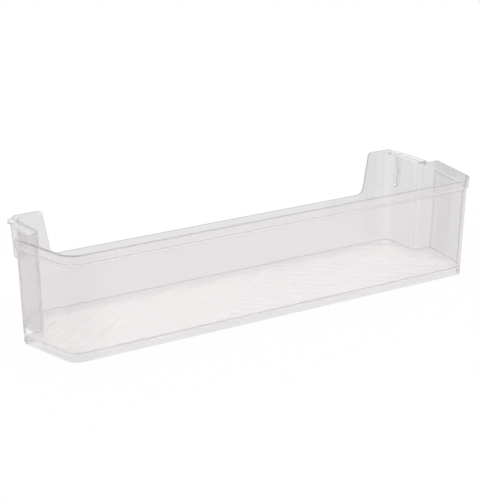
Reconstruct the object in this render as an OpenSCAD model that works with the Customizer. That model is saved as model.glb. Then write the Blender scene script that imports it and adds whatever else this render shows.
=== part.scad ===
// Door bin of a household refrigerator, moulded in one piece from clear plastic.
// Frame: X along the bin, Y from the front wall to the back wall, Z up.
// The origin is the middle of the bin's box, on the surface that it stands on.

/* [Overall] */
// Length across the rims of the two end walls
length = 476; // [420:1:560]
// Depth from the front rim to the back of the step beside a lug channel
pocket_d = 70.2; // [56:0.1:90]
// Height of the front and end walls
rim_h = 96.5; // [84:0.5:130]
// Height of the low back wall between the ears
back_h = 59.5; // [40:0.5:75]

/* [Walls] */
// Thickness of every wall
wall = 2.2; // [1.6:0.1:2.4]
// Lean of the front wall
front_lean = 0.3; // [0:0.1:2]
// Lean of the end walls
end_lean = 2.6; // [0.5:0.1:4]
// Lean of the steps beside the lug channels
jog_lean = 1.3; // [0.5:0.1:5]
// Lean of the inset walls beside the lug channels
inset_lean = 2.4; // [0.5:0.1:4]
// Lean of the back wall
back_lean = 2.5; // [0.5:0.1:4]
// Angle by which the end walls spread towards the back, seen from above
flare = 11; // [0:0.5:14]
// Radius of the front corners at the rim
front_r_top = 16; // [8:0.5:36]
// Radius of the front corners at the foot
front_r_foot = 12; // [6:0.5:24]
// Radius of the back corners
back_r = 12; // [6:0.5:16]
// Radius of the outer corners beside the lug channels
jog_r = 1.2; // [0.6:0.1:2.2]
// Radius of the inner corners beside the lug channels
nook_r = 2.4; // [2.2:0.1:5]

/* [Rim] */
// Height of the band that steps out round the rim
band_h = 7.7; // [4:0.1:16]
// Distance by which the band steps out
band_out = 1.8; // [0.6:0.1:2]
// Height of the soft ledge under the band
ledge_h = 3; // [1:0.1:4]

/* [Floor] */
// Height of the floor's upper face above the foot
floor_h = 7.7; // [5:0.1:20]
// Thickness of the floor
floor_t = 2.2; // [1.5:0.1:3]
// Distance from rib to rib
rib_pitch = 12.4; // [8:0.1:24]
// Width of a rib
rib_w = 6; // [2:0.1:7]
// Height of a rib above the floor
rib_rise = 0.4; // [0.3:0.1:1.2]
// Height by which the rib along the seam stands above the others
seam_rise = 0.2; // [0.1:0.1:0.6]
// Angle between the ribs and the front wall
rib_angle = 37; // [28:1:52]
// Plain border between the ribs and the walls
rib_border = 3; // [1:0.5:10]

/* [Lug channels] */
// Distance by which the bin steps in to a lug channel, from the rim of the end wall
channel_w = 22.7; // [16:0.1:34]
// Gap between the step and the hook tab, which takes the door's lug
lug_gap = 33.2; // [24:0.1:60]
// Height of the roof's upper face above the rim
roof_step = 2.1; // [1:0.1:2.1]
// Thickness of the roof
roof_t = 2.2; // [2.2:0.1:3]
// Reach of the roof beyond the inset wall
roof_reach = 6.8; // [5.5:0.1:12]
// Radius of the roof's outer back corner
roof_r = 6; // [3:0.5:8]
// Depth of the lip along the roof's outer edge
lip_h = 4; // [3:0.1:8]
// Thickness of the lip
lip_t = 2; // [1.4:0.1:3]

/* [Hook tabs] */
// Thickness of the tab
tab_t = 2.3; // [1.6:0.1:3]
// Distance from the back of the tab to the back of the ears
tail_d = 10.8; // [8:0.1:20]
// Reach of the tab's lower end beyond the inset wall's rim
tab_reach = 3.7; // [2.5:0.1:6]
// Length of the tab below the roof's upper face
tab_len = 34.6; // [25:0.1:60]
// Radius of the tab's lower end
tab_r = 4; // [1:0.1:6]
// Distance of the snap bump below the roof's upper face
bump_drop = 18.6; // [12:0.1:20]
// Radius of the ball that forms the snap bump
bump_r = 3.2; // [2:0.1:4]
// Distance by which the bump stands out of the tab
bump_out = 1.6; // [0.4:0.1:2]

/* [Ears] */
// Height of the ears above the roof's upper face
ear_rise = 2.4; // [1:0.1:20]
// Width of an ear at its root, from the roof's outer edge
ear_root_w = 44; // [36:0.5:90]
// Width of an ear at its top, from the roof's outer edge
ear_top_w = 35.9; // [24:0.1:36]
// Radius where an ear rises from the back wall
ear_root_r = 8; // [2:0.5:14]
// Radius of an ear's upper inner corner
ear_top_r = 4; // [1:0.5:8]
// Radius of an ear's upper outer corner
ear_end_r = 4.5; // [2:0.5:8]

/* [Hidden] */
// Reach of a cutting block beyond the bin
clear = 40;
// Depth to which an added piece runs into the wall that carries it
bite = 0.5;
// Distance of an added plate's faces inside the wall faces that it continues
tuck = 0.1;
// Steps along the arc of a corner, and the radius under which a corner takes half of them
arc_steps = 12;
small_r = 6;
// Steps over the height of the ledge
ledge_steps = 4;

depth = pocket_d + lug_gap + tab_t + tail_d;
roof_h = rim_h + roof_step;
ear_h = roof_h + ear_rise;
front_y = -depth / 2;
back_y = depth / 2;
jog_rim_y = front_y + pocket_d;
tab_y = jog_rim_y + lug_gap;
inset_rim_x = length / 2 - channel_w;
roof_x = inset_rim_x + roof_reach;
tab_foot_x = inset_rim_x + tab_reach;
tab_top_x = roof_x - tuck;
// Line inside the walls from which the roof and the tab start, and the ear's end a little before
root_x = inset_rim_x - back_r;
ear_root = root_x - 2 * bite;
// Corner of the end wall and the step, so placed that the band's round corner fills the length
jog_rim_x = length / 2 + jog_r * (cos(flare) / (1 - sin(flare)) - 1) - band_out / cos(flare);
// Height by which the inner ledge lies over the outer one, which keeps the thickness
ledge_lift = wall * tan(atan(band_out / ledge_h) / 2);

// Places of the walls' outer faces at height z
function fall(z, lean) = (rim_h - z) * tan(lean);
function front_wall_y(z) = front_y + band_out + fall(z, front_lean);
function jog_wall_y(z) = jog_rim_y - fall(z, jog_lean);
function back_wall_y(z) = back_y - (ear_h - z) * tan(back_lean);
function inset_wall_x(z) = inset_rim_x - fall(z, inset_lean);
function end_wall_x(z, y) = jog_rim_x - fall(z, end_lean) - (jog_rim_y - y) * tan(flare);
function front_r(z) = front_r_foot + (front_r_top - front_r_foot) * z / rim_h;

// Corners of the outer faces at height z, with the front and end walls moved out by out:
// place and radius, against the clock from the front right
function right_corners(z, out) =
    let (y = front_wall_y(z) - out, x_out = out / cos(flare))
    [
        [end_wall_x(z, y) + x_out, y, front_r(z) + out],
        [end_wall_x(z, jog_wall_y(z)) + x_out, jog_wall_y(z), jog_r],
        [inset_wall_x(z), jog_wall_y(z), nook_r],
        [inset_wall_x(z), back_wall_y(z), back_r]
    ];
function mirrored(c) = [for (i = [len(c) - 1 : -1 : 0]) [-c[i][0], c[i][1], c[i][2]]];
function corners(z, out) = concat(right_corners(z, out), mirrored(right_corners(z, out)));

function flat(p) = [p[0], p[1]];
function unit(v) = v / norm(v);
function outward(p, q) = let (d = unit(flat(q) - flat(p))) [d[1], -d[0]];
function wrapped(a) = a > 180 ? a - 360 : (a < -180 ? a + 360 : a);

// Arc that rounds corner q between its neighbours p and s, all set off outwards by off
function corner_arc(p, q, s, off = 0) =
    let (
        n1 = outward(p, q),
        n2 = outward(q, s),
        a1 = atan2(n1[1], n1[0]),
        turn = wrapped(atan2(n2[1], n2[0]) - a1),
        side = turn > 0 ? 1 : -1,
        r = max(q[2] + side * off, 0),
        mid = flat(q) + (off - side * r) * (n1 + n2) / (1 + n1 * n2),
        steps = q[2] < small_r ? arc_steps / 2 : arc_steps
    )
    r == 0 ? [mid] : [for (k = [0 : steps])
        let (a = a1 + turn * k / steps)
        mid + side * r * [cos(a), sin(a)]];

function rounded(c, off = 0) =
    let (n = len(c))
    [for (i = [0 : n - 1]) each corner_arc(c[(i + n - 1) % n], c[i], c[(i + 1) % n], off)];
function outline(z, off, out = 0) = rounded(corners(z, out), off);

// Solid through outlines set off from the walls' outer faces, one for each height and out
module loft(levels, off) {
    rings = [for (level = levels) outline(level[0], off, level[1])];
    n = len(rings[0]);
    top = (len(levels) - 1) * n;
    polyhedron(
        points = [for (k = [0 : len(levels) - 1]) each
            [for (p = rings[k]) [p[0], p[1], levels[k][0]]]],
        faces = concat(
            [[for (i = [0 : n - 1]) i]],
            [[for (i = [n - 1 : -1 : 0]) top + i]],
            [for (low = [0 : n : top - n]) each
                [for (i = [0 : n - 1])
                    let (next = (i + 1) % n)
                    [low + i, low + n + i, low + n + next, low + next]]]
        ),
        convexity = 6
    );
}

// Levels of the walls' faces from a foot to a top: the ledge under the band is a soft S in section,
// raised by lift
function levels(foot, top, lift) =
    let (low = rim_h - band_h - ledge_h + lift)
    concat(
        [[foot, 0]],
        [for (k = [0 : ledge_steps])
            let (part = k / ledge_steps)
            [low + ledge_h * part, band_out * (1 - cos(180 * part)) / 2]],
        [[top, band_out]]
    );

// Everything in front of a plane across the bin, between two heights
module in_front_of(y, z0, z1) {
    translate([-length / 2 - clear, front_y - clear, z0])
        cube([length + 2 * clear, y - front_y + clear, z1 - z0]);
}

module both_ends() {
    children();
    mirror([1, 0, 0]) children();
}

// The walls' block, cut down to the rim in front and to the roof beside the lug channels
module block() {
    above_roof = roof_h - tuck;
    difference() {
        loft(levels(0, ear_h + 1, 0), 0);
        in_front_of(jog_wall_y(roof_h) + tuck, rim_h, ear_h + clear);
        both_ends()
            translate([ear_root + bite, front_y - clear, above_roof])
                cube([clear + length / 2 - ear_root, depth + 2 * clear, ear_h]);
    }
}

// Tray inside the walls, wider within the band so that the rim keeps the walls' thickness
module tray_space() {
    loft(levels(floor_h, ear_h + 2, ledge_lift), -wall);
}

// Low space under the floor, inside the foot
module foot_space() {
    loft([[-1, 0], [floor_h - floor_t, 0]], -wall);
}

// Roof over a lug channel, with a lip along its outer edge from the step to the hook tab
module roof() {
    front = jog_rim_y - wall + tuck;
    back = back_wall_y(roof_h) - tuck;
    translate([0, 0, roof_h - roof_t])
        linear_extrude(roof_t)
            polygon(concat(
                [[root_x, front], [roof_x, front]],
                corner_arc([roof_x, front], [roof_x, back, roof_r], [root_x, back]),
                [[root_x, back]]
            ));
    translate([roof_x - lip_t, jog_rim_y, roof_h - lip_h])
        cube([lip_t, lug_gap + tab_t / 2, lip_h - bite]);
}

// Snap bump, a shallow dome on the tab's front face
module bump() {
    intersection() {
        translate([(inset_rim_x + tab_foot_x) / 2, tab_y + bump_r - bump_out, roof_h - bump_drop])
            sphere(bump_r, $fn = 48);
        in_front_of(tab_y + tab_t / 2, 0, roof_h);
    }
}

// Hook tab at the back of a lug channel, which tapers downwards to a round end
module hook_tab() {
    foot = roof_h - tab_len;
    top = roof_h - roof_t / 2;
    translate([0, tab_y + tab_t, 0])
        rotate([90, 0, 0])
            linear_extrude(tab_t)
                polygon(concat(
                    [[root_x, foot]],
                    corner_arc([root_x, foot], [tab_foot_x, foot, tab_r], [tab_top_x, top]),
                    [[tab_top_x, top], [root_x, top]]
                ));
    bump();
}

// End of an ear, which leans with the back wall and closes the roof at the back
module ear_end() {
    low = -ear_rise - roof_t / 2;
    end_x = roof_x - roof_r + bite;
    translate([0, back_wall_y(ear_h) - tuck, ear_h])
        rotate([90 - back_lean, 0, 0])
            linear_extrude(wall - 2 * tuck)
                polygon(concat(
                    [[ear_root, low], [end_x, low]],
                    corner_arc([end_x, -clear], [end_x, 0, ear_end_r], [ear_root, 0]),
                    [[ear_root, 0]]
                ));
}

// Gap above the low back wall, between the slanted edges of the ears
module back_gap() {
    wide = length / 2 + clear;
    right = [
        [roof_x - ear_root_w, back_h, ear_root_r],
        [roof_x - ear_top_w, ear_h, ear_top_r],
        [wide, ear_h, 0],
        [wide, ear_h + clear, 0]
    ];
    translate([0, back_y + clear, 0])
        rotate([90, 0, 0])
            linear_extrude(2 * clear)
                polygon(rounded(concat(right, mirrored(right))));
}

// One rib, a low round ridge that lies along X
module rib(size, rise) {
    r = (rib_w * rib_w / 4 + rise * rise) / (2 * rise);
    translate([-size / 2, 0, floor_h])
        rotate([90, 0, 90])
            linear_extrude(size)
                intersection() {
                    translate([0, rise - r]) circle(r, $fn = 96);
                    translate([-rib_w / 2, -bite]) square([rib_w, rise + bite]);
                }
}

// Ribs number first to last, side by side at an angle to the front wall
module rib_rows(angle, first, last) {
    size = 1.1 * depth / sin(rib_angle);
    rotate([0, 0, angle])
        for (k = [first : last])
            translate([-k * rib_pitch / tan(angle), k * rib_pitch, 0])
                rib(size, rib_rise);
}

module ribbed_area() {
    linear_extrude(floor_h + 2 * (rib_rise + seam_rise))
        polygon(outline(floor_h, -wall - rib_border));
}

// The floor's part on the right of the seam, which runs along the ribs of the left part
module right_of_seam() {
    rotate([0, 0, rib_angle])
        translate([-length, -length, 0])
            cube([2 * length, length, ear_h]);
}

// Ribs in two directions, which meet at a seam through the middle of the floor
module floor_ribs() {
    reach = (length * sin(rib_angle) + depth * cos(rib_angle)) / 2;
    last = floor(reach / rib_pitch);
    first = -floor(depth * cos(rib_angle) / rib_pitch);
    intersection() {
        ribbed_area();
        union() {
            rotate([0, 0, rib_angle])
                rib(1.1 * depth / sin(rib_angle), rib_rise + seam_rise);
            rib_rows(rib_angle, 1, last);
        }
    }
    intersection() {
        ribbed_area();
        right_of_seam();
        rib_rows(-rib_angle, first, last);
    }
}

module door_bin() {
    color([0.9, 0.91, 0.92, 0.5])
        union() {
            difference() {
                union() {
                    block();
                    both_ends() {
                        roof();
                        hook_tab();
                        ear_end();
                    }
                }
                tray_space();
                foot_space();
                back_gap();
            }
            floor_ribs();
        }
}

door_bin();
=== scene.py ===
# %% [markdown]
# # A clear refrigerator door bin
# The bin is one moulding of clear plastic: a long tray with thin leaning walls, a band round the rim, a
# ribbed floor, and at each end a roofed channel that hangs on a lug of the door. Its shape is simple. What
# makes it look real is how light goes through it, so most cells here are about light and finish.

# %% Load the frame
import math
import bmesh
import bpy
from mathutils import Matrix, Vector


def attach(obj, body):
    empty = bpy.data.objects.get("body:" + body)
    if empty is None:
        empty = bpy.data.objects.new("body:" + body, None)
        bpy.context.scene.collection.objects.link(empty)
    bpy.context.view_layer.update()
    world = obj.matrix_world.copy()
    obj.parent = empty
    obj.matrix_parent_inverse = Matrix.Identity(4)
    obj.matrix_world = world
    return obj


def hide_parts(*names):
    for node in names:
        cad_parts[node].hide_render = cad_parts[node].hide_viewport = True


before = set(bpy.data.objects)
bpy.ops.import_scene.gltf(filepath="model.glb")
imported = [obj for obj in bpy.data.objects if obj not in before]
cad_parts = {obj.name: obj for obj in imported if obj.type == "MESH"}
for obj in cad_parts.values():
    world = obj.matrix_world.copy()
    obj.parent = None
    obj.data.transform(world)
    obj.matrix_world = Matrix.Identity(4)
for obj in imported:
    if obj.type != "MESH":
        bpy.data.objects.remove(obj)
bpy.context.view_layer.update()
scene = bpy.context.scene
MM = 0.001

# %% [markdown]
# ## Camera
# The photograph looks down at the front and the left end from a long way off. A long lens far away keeps the
# rims nearly parallel, as they are in the photograph. A short lens close by would fit the frame as well, but
# the near corner would swell. The place and the three angles come from fitting a pinhole camera to the
# bin's straight edges.

# %% Camera
LENS = 125.33
SENSOR = 36.0
CAMERA_PLACE = (-0.8903, -1.2518, 0.5582)
AZIMUTH, ELEVATION, ROLL = -35.11, 18.40, 0.94


def turn(degrees, axis):
    return Matrix.Rotation(math.radians(degrees), 4, axis)


camera_data = bpy.data.cameras.new("camera")
camera_data.lens = LENS
camera_data.sensor_width = SENSOR
camera = bpy.data.objects.new("camera", camera_data)
scene.collection.objects.link(camera)
look = turn(AZIMUTH, "Z") @ turn(90 - ELEVATION, "X") @ turn(ROLL, "Z")
camera.matrix_world = Matrix.Translation(CAMERA_PLACE) @ look
scene.camera = camera
print("camera distance:", round(Vector(CAMERA_PLACE).length, 2), "m")

# %% [markdown]
# ## Node helpers
# Every material, and the world, is a small graph of nodes. Three helpers keep the cells short: one empties
# a node tree, one adds a node with its settings, and one adds a Math node with its two inputs.


# %% Node helpers
def cleared(owner):
    owner.use_nodes = True
    owner.node_tree.nodes.clear()
    return owner.node_tree


def add(tree, kind, inputs=None, **settings):
    node = tree.nodes.new("ShaderNode" + kind)
    for name, value in settings.items():
        setattr(node, name, value)
    for name, value in (inputs or {}).items():
        if isinstance(value, bpy.types.NodeSocket):
            tree.links.new(value, node.inputs[name])
        else:
            node.inputs[name].default_value = value
    return node


def maths(tree, operation, first, second, clamp=False):
    return add(tree, "Math", {0: first, 1: second}, operation=operation, use_clamp=clamp).outputs[0]


# %% [markdown]
# ## Studio
# The bin stands on white, with white all round, and clear plastic shows nothing but what is round it. So
# the world has two strengths: full white for what the camera sees straight, mirrored or through the
# plastic, and less for the light that falls on things. Light Path tells the rays apart. Making the lamps
# stronger until the floor clips would give white as well, but it would bleach the bin.


# %% What sees the white background
def sees_white(tree):
    """One for camera, glossy and transmission rays that have met nothing matt on their way."""
    path = add(tree, "LightPath")
    direct = maths(tree, "ADD", path.outputs["Is Camera Ray"], path.outputs["Is Glossy Ray"])
    through = maths(tree, "ADD", direct, path.outputs["Is Transmission Ray"], clamp=True)
    return maths(tree, "SUBTRACT", through, path.outputs["Diffuse Depth"], clamp=True)


WORLD_LIGHT = 0.55

world = bpy.data.worlds.new("studio")
scene.world = world
tree = cleared(world)
strength = add(tree, "MapRange", {"Value": sees_white(tree), "To Min": WORLD_LIGHT, "To Max": 1.0})
background = add(tree, "Background", {"Color": (1, 1, 1, 1), "Strength": strength.outputs["Result"]})
add(tree, "OutputWorld", {"Surface": background.outputs[0]})
print("world light:", WORLD_LIGHT)

# %% [markdown]
# ## Floor
# For the rays that see the background, the floor is mostly white of its own, and the small rest is lit. The
# white keeps the background even, and the lit rest holds the faint shadow that seats the bin. A wholly lit
# floor would give a darker shadow than the photograph has.

# %% Floor
FLOOR_REACH = 6.0
FLOOR_WHITE = 0.85

shape = bmesh.new()
bmesh.ops.create_grid(shape, x_segments=1, y_segments=1, size=FLOOR_REACH)
floor_mesh = bpy.data.meshes.new("studio_floor")
shape.to_mesh(floor_mesh)
shape.free()
studio_floor = bpy.data.objects.new("studio_floor", floor_mesh)
scene.collection.objects.link(studio_floor)

floor_paper = bpy.data.materials.new("studio_floor")
tree = cleared(floor_paper)
lit = add(tree, "BsdfDiffuse", {"Color": (1, 1, 1, 1)})
white = add(tree, "Emission", {"Strength": 1.0})
share = maths(tree, "MULTIPLY", sees_white(tree), FLOOR_WHITE)
paper = add(tree, "MixShader", {0: share, 1: lit.outputs[0], 2: white.outputs[0]})
add(tree, "OutputMaterial", {"Surface": paper.outputs[0]})
floor_mesh.materials.append(floor_paper)
print("floor:", 2 * FLOOR_REACH, "m square")

# %% [markdown]
# ## Lamp
# One broad soft lamp shines from high on the left, as the bright strip on the left channel's roof suggests.
# A sun lamp with a wide angle lights the floor evenly to its far end, which an area lamp close by can't do.
# It gives just what the world leaves, so that white paper renders white.

# %% Lamp
SUN_FROM = Vector((-0.55, -0.35, 1.0))
SUN_ANGLE = 85
SUN_SHARE = 1.0 - WORLD_LIGHT

sun_data = bpy.data.lights.new("sun", "SUN")
sun_data.angle = math.radians(SUN_ANGLE)
sun_data.energy = math.pi * SUN_SHARE / SUN_FROM.normalized().z
sun = bpy.data.objects.new("sun", sun_data)
scene.collection.objects.link(sun)
sun.rotation_euler = SUN_FROM.to_track_quat("Z", "Y").to_euler()
print("sun strength:", round(sun_data.energy, 2))

# %% [markdown]
# ## Moulded surface
# A moulding is never quite even. The steel mould is polished by hand, which leaves a fine waviness, and the
# plastic flows in and cools in patches. A node group holds both, so that the clear and the frosted finish
# can share it with their own values. An image would do it too, but noise has no seams and no size limit.

# %% Moulded surface group
moulded = bpy.data.node_groups.new("moulded_surface", "ShaderNodeTree")
for name, usual in (("Roughness", 0.04), ("Spread", 0.02), ("Grain Scale", 900.0)):
    socket = moulded.interface.new_socket(name, in_out="INPUT", socket_type="NodeSocketFloat")
    socket.default_value = usual
for name in ("Roughness", "Height", "Patches"):
    moulded.interface.new_socket(name, in_out="OUTPUT", socket_type="NodeSocketFloat")
inside = moulded.nodes.new("NodeGroupInput")
outside = moulded.nodes.new("NodeGroupOutput")
place = add(moulded, "TexCoord")
patches = add(moulded, "TexNoise", {"Vector": place.outputs["Object"], "Scale": 14.0, "Detail": 3.0})
grain = add(moulded, "TexNoise", {
    "Vector": place.outputs["Object"],
    "Scale": inside.outputs["Grain Scale"],
    "Detail": 2.0,
})
wave = add(moulded, "TexNoise", {"Vector": place.outputs["Object"], "Scale": 60.0, "Detail": 1.0})
spread = maths(moulded, "MULTIPLY", patches.outputs["Fac"], inside.outputs["Spread"])
rough = maths(moulded, "ADD", spread, inside.outputs["Roughness"])
fine = maths(moulded, "MULTIPLY", grain.outputs["Fac"], 0.3)
height = maths(moulded, "ADD", fine, wave.outputs["Fac"])
moulded.links.new(rough, outside.inputs["Roughness"])
moulded.links.new(height, outside.inputs["Height"])
moulded.links.new(patches.outputs["Fac"], outside.inputs["Patches"])
print("group sockets:", [item.name for item in moulded.interface.items_tree])

# %% [markdown]
# ## Painted shade of the walls
# In the photograph the back wall, the ears and the walls beside the channels are greyer than the front
# wall. The band and the foot are a little greyer than the wall between them, and both ends deepen in tone.
# In clear plastic that greyness, and the thin grey lines that follow, come from how light passes through the
# walls and is caught in them. Here they are painted shade: ramps that darken the base colour.
# Thin grey lines run where the plastic is thick: along the rim, round the floor and down the corners beside
# the steps. Each tone is a soft ramp along an axis of the bin, or several that all have to be on, and the
# tones are multiplied. Their levels are chosen by measure against the photograph. They read the
# bin's own coordinates, so they stay on the bin in every view. Following the light that runs inside the
# walls much further might draw some of the lines by itself, but it would be slow and grainy.

# %% Painted shade of the walls
CORNER_LEAN = 0.0508
NOOK_LEAN = 0.042
FLARE = 0.194


def own_axes(tree):
    """Coordinates of the bin itself, some of them slanted so that one value fits a whole wall or corner."""
    place = add(tree, "TexCoord")
    x, y, z = add(tree, "SeparateXYZ", {"Vector": place.outputs["Object"]}).outputs
    beside = maths(tree, "ABSOLUTE", x, 0.0)
    corner_shift = maths(tree, "MULTIPLY", z, CORNER_LEAN)
    nook_shift = maths(tree, "MULTIPLY", z, NOOK_LEAN)
    upright = maths(tree, "SUBTRACT", x, corner_shift)
    return {
        "x": x, "y": y, "z": z, "beside": beside,
        "corner": maths(tree, "SUBTRACT", beside, corner_shift),
        "nook": maths(tree, "SUBTRACT", beside, nook_shift),
        "right": maths(tree, "SUBTRACT", upright, maths(tree, "MULTIPLY", y, FLARE)),
        "away": maths(tree, "ADD", y, maths(tree, "MULTIPLY", x, FLARE)),
    }


def ramp(tree, value, start, end, level):
    """One up to start, level from end on. Start and end are in millimetres."""
    ends = {"From Min": start * MM, "From Max": end * MM, "To Min": 1.0, "To Max": level}
    return add(tree, "MapRange", {"Value": value, **ends}).outputs["Result"]


BACK = ("y", 49, 52)
CHANNEL = ("y", 12, 14), ("y", 52, 49)
STEP = ("y", 4, 7), ("y", 14, 12)
FRONT = ("y", 7, 4)
RIM = FRONT, ("z", 95.3, 95.7)
NOOK = ("x", -200, -205), ("y", 5, 7), ("y", 10.2, 9.8)
# Painted shade: each entry darkens the base colour where the clear plastic looks greyer, or draws a dark
# line along an edge.
PAINTED_SHADE_TABLE = {
    "back wall": (0.81, BACK),
    "ears": (0.98, BACK, ("z", 58, 66)),
    "walls beside the channels": (0.775, *CHANNEL, ("beside", 218, 216)),
    "left hook tab": (0.82, ("x", -214, -217), ("y", 43, 45), ("y", 49, 48)),
    "left front": (0.955, ("y", -8, -18), ("x", -180, -205)),
    "right step": (0.77, *STEP, ("x", 200, 204)),
    "right end": (0.8, FRONT, ("right", 226.5, 227.1)),
    "outside of the right end": (0.84, ("y", 14, 10), ("right", 228.6, 229.2)),
    "right front corner": (0.76, ("y", -43, -46), ("x", 210, 216)),
    "band": (0.99, FRONT, ("z", 85, 88)),
    "ledge under the band": (0.9, FRONT, ("z", 84.6, 85.2), ("z", 87.5, 86.8)),
    "foot": (0.81, ("z", 7.5, 6)),
    "line along the rim": (0.74, *RIM, ("away", 0, -4)),
    "line along the left rim": (0.72, *RIM, ("x", -205, -212)),
    "line round the floor": (0.48, ("z", 7.5, 7.6), ("z", 8.4, 8.2)),
    "line down the corner": (0.72, ("y", 5, 6), ("corner", 228.6, 228.7), ("corner", 229.5, 229.3)),
    "line down the left nook": (0.5, *NOOK, ("nook", 211.9, 212.2), ("nook", 213.8, 213.5)),
}


# The painted shade of the walls: the ramps of each entry, multiplied into one factor for the base colour.
def painted_wall_shade(tree):
    axes = own_axes(tree)
    painted_shade = 1.0
    for level, *ramps in PAINTED_SHADE_TABLE.values():
        spot = 0.0
        for axis, start, end in ramps:
            spot = maths(tree, "MAXIMUM", spot, ramp(tree, axes[axis], start, end, level))
        painted_shade = maths(tree, "MULTIPLY", painted_shade, spot)
    return painted_shade


print("tones:", {name: level for name, (level, *ramps) in PAINTED_SHADE_TABLE.items()})

# %% [markdown]
# ## Plastic
# Polystyrene bends light a little more than window glass and takes a faint warm grey tint from every face
# that light crosses. The tint sits in the base colour, which the shader applies at each face, so two walls
# behind each other come out darker than one. A volume would tint by depth instead, and darken the edges too
# much, where light has come a long way. Some light is caught in the thin wall and runs on inside it until
# it finds an edge. The renderer would follow it for a few bounces and then call it black, so after two
# mirrorings it goes straight on. It is tinted once, at the face where that begins, which draws the fine
# dark lines of the ears, the corners and the foot. The front wall and its band show such light hardly at
# all. A lamp's light passes through a plain tint, because the shadow of clear plastic is faint.

# %% Plastic
PLASTIC_IOR = 1.57
BOUNCES_FOLLOWED = 1.5
CAUGHT_TINT = (0.62, 0.6, 0.61)
FRONT_TINT = (0.73, 0.71, 0.72)
FROST_TINT = (0.97, 0.965, 0.965)


def tint_between(tree, factor, low, high):
    """A colour between two, each of them a value or a socket."""
    mix = add(tree, "Mix", {"Factor": factor}, data_type="RGBA")
    for name, colour in (("A", low), ("B", high)):
        if isinstance(colour, bpy.types.NodeSocket):
            tree.links.new(colour, mix.inputs[name])
        else:
            mix.inputs[name].default_value = (*colour, 1)
    return mix.outputs["Result"]


def caught_tint(tree):
    """The colour of caught light in the walls: grey, and pale in the front wall above the foot."""
    axes = own_axes(tree)
    pale = 1.0
    for axis, start, end in (("y", 4, 12), ("z", 14, 10), ("beside", 222, 228)):
        pale = maths(tree, "MULTIPLY", pale, ramp(tree, axes[axis], start, end, 0.0))
    again = maths(tree, "GREATER_THAN", add(tree, "LightPath").outputs["Transparent Depth"], 0.5)
    return tint_between(tree, again, tint_between(tree, pale, CAUGHT_TINT, FRONT_TINT), (1, 1, 1))


def plastic(name, tints, painted_shade, caught_colour, finish, bump, shade, transmission):
    """A moulded plastic whose tint drifts between two values in soft patches."""
    material = bpy.data.materials.new(name)
    tree = cleared(material)
    surface = add(tree, "Group", node_tree=moulded)
    for socket, value in finish.items():
        surface.inputs[socket].default_value = value
    colour = tint_between(tree, surface.outputs["Patches"], *tints)
    # The painted shade of the walls darkens the base colour here.
    if painted_shade:
        colour = add(tree, "VectorMath", {0: colour, "Scale": painted_shade(tree)}, operation="SCALE").outputs[0]
    relief = add(tree, "Bump", {"Height": surface.outputs["Height"], "Strength": bump, "Distance": 0.2 * MM})
    body = add(tree, "BsdfPrincipled", {
        "Base Color": colour,
        "Roughness": surface.outputs["Roughness"],
        "Normal": relief.outputs[0],
        "IOR": PLASTIC_IOR,
        "Transmission Weight": transmission,
    })
    path = add(tree, "LightPath")
    caught = maths(tree, "GREATER_THAN", path.outputs["Glossy Depth"], BOUNCES_FOLLOWED)
    onward_colour = caught_colour(tree) if caught_colour else (*FROST_TINT, 1)
    onward = add(tree, "BsdfTransparent", {"Color": onward_colour})
    seen = add(tree, "MixShader", {0: caught, 1: body.outputs[0], 2: onward.outputs[0]})
    veil = add(tree, "BsdfTransparent", {"Color": (*shade, 1)})
    mix = add(tree, "MixShader", {0: path.outputs["Is Shadow Ray"], 1: seen.outputs[0], 2: veil.outputs[0]})
    add(tree, "OutputMaterial", {"Surface": mix.outputs[0]})
    print(name, "has", len(tree.nodes), "nodes")
    return material


# %% [markdown]
# ## Clear walls and frosted floor
# The walls come from a polished mould. The floor looks frosted: the photograph shows it brighter than the
# walls, with ribs that are only soft bands. A frosted face both scatters what passes and shines a little of
# its own white, so less of it is transmission.

# %% Clear walls and frosted floor
CLEAR_TINTS = ((0.972, 0.955, 0.96), (0.982, 0.967, 0.971))
# The clear walls get the painted shade of the walls.
clear_plastic = plastic(
    "clear_plastic", CLEAR_TINTS, painted_wall_shade, caught_tint,
    finish={"Roughness": 0.03, "Spread": 0.03, "Grain Scale": 900.0},
    bump=0.04, shade=(0.93, 0.92, 0.925), transmission=1.0)
FROSTED_TINTS = ((0.975, 0.965, 0.96), (0.99, 0.98, 0.975))
frosted_plastic = plastic(
    "frosted_plastic", FROSTED_TINTS, None, None,
    finish={"Roughness": 0.13, "Spread": 0.06, "Grain Scale": 900.0},
    bump=0.1, shade=(0.95, 0.94, 0.935), transmission=0.68)

# %% [markdown]
# ## The bin
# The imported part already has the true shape, with its ribs, ledge and hook tabs. Its mesh is loose
# triangles, so a copy of it is merged into one skin first, and flat faces are joined again. Modelling the
# bin from rings would give the same walls.

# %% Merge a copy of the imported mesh
FLAT = math.radians(0.3)


def merged_copy(node):
    skin = bmesh.new()
    skin.from_mesh(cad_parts[node].data)
    bmesh.ops.remove_doubles(skin, verts=skin.verts, dist=0.001 * MM)
    bmesh.ops.dissolve_limit(skin, angle_limit=FLAT, verts=skin.verts, edges=skin.edges)
    open_edges = sum(not edge.is_manifold for edge in skin.edges)
    print(node, "has", len(skin.faces), "faces and", open_edges, "open edges")
    return skin


skin = merged_copy("door_bin")

# %% [markdown]
# ## Fillet round the floor
# A moulded floor runs into the walls in a small fillet, because a sharp inner corner would crack. In clear
# plastic it works as a thin lens, and with the painted shade above it draws the fine line round the floor,
# so that line is partly real refraction and partly painted shade. The bevel takes the hollow edges at the
# floor's height that have a tall wall on one side.

# %% Fillet round the floor
FLOOR_TOP = 7.7
FILLET = 0.5
FILLET_STEPS = 3
TALL = 30


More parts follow.
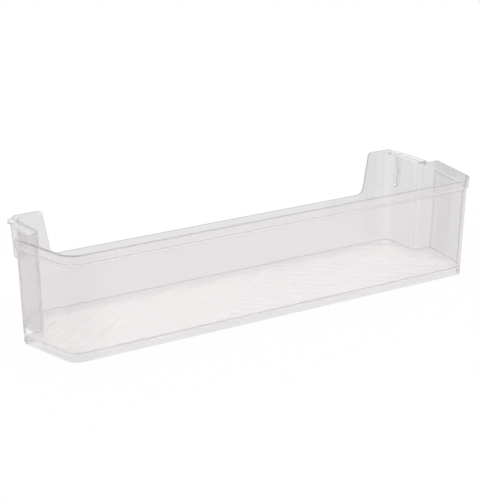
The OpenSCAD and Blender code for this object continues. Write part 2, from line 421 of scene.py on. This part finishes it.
def turn_of(edge):
    """The angle between an edge's faces, below zero where the edge is hollow."""
    return math.degrees(edge.calc_face_angle_signed(0))


def at_height(edge, height):
    return all(abs(vert.co.z - height * MM) < 0.02 * MM for vert in edge.verts)


def has_wall(edge):
    return any(vert.co.z > TALL * MM for face in edge.link_faces for vert in face.verts)


foot_of_walls = [
    edge for edge in skin.edges
    if at_height(edge, FLOOR_TOP) and turn_of(edge) < -40 and has_wall(edge)]
bmesh.ops.bevel(
    skin, geom=foot_of_walls, offset=FILLET * MM, offset_type="OFFSET", affect="EDGES",
    segments=FILLET_STEPS, profile=0.5, material=-1, clamp_overlap=False)
print("edges round the floor:", len(foot_of_walls), "faces now:", len(skin.faces))

# %% [markdown]
# ## Shading and materials
# Faces that turn softly into each other are shaded smooth, and only what is still sharp stays so. Normals
# weighted by area keep the broad walls flat right up to their edges. The floor's faces, above and below,
# get the frosted finish.

# %% Shading and materials
CRISP = 35
FLOOR_FROM, FLOOR_TO = 5.4, 8.6
CLEAR, FROSTED = 0, 1

for face in skin.faces:
    face.smooth = True
    height = face.calc_center_median().z / MM
    in_floor = FLOOR_FROM < height < FLOOR_TO and abs(face.normal.z) > 0.5
    face.material_index = FROSTED if in_floor else CLEAR
for edge in skin.edges:
    edge.smooth = abs(turn_of(edge)) < CRISP
bin_mesh = bpy.data.meshes.new("door_bin_skin")
skin.to_mesh(bin_mesh)
skin.free()
bin_mesh.materials.append(clear_plastic)
bin_mesh.materials.append(frosted_plastic)
bin_skin = bpy.data.objects.new("door_bin_skin", bin_mesh)
scene.collection.objects.link(bin_skin)
even = bin_skin.modifiers.new("even_normals", "WEIGHTED_NORMAL")
even.weight = 100
even.keep_sharp = True
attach(bin_skin, "root")
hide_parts("door_bin")
print("frosted faces:", sum(face.material_index == FROSTED for face in bin_mesh.polygons))

# %% [markdown]
# ## Finish
# The view transform is set to Standard, so that white stays white.

# %% Finish
scene.view_settings.view_transform = "Standard"
